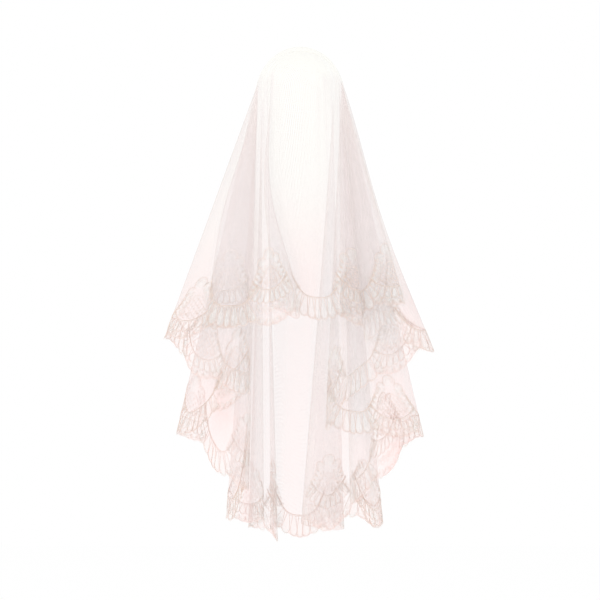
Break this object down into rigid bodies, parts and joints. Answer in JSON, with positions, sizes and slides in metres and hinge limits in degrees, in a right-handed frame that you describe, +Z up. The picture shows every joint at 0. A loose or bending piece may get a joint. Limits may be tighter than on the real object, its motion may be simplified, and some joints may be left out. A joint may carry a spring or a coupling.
{
  "type": "bridal veil",
  "caption": "Drop veil of sheer tulle draped over the head, short in front and long behind, falling in deep side cascades, with a wide scalloped lace edging.",
  "frame": {"origin": "inside of the cloth on the middle of the wearer's crown, where the head carries the veil", "axes": "+Z up, -Y the way the wearer faces, +X to the wearer's left"},
  "size_m": [0.5916, 0.3376, 1.0927],
  "materials": {
    "tulle": "sheer soft blush net, ivory on the crown",
    "lace": "matt corded lace in dusty blush"
  },
  "bodies": {
    "root": {"tulle_front": "tulle", "tulle_back": "tulle", "lace_front": "lace", "lace_right": "lace", "lace_back": "lace", "lace_left": "lace"}
  },
  "joints": []
}
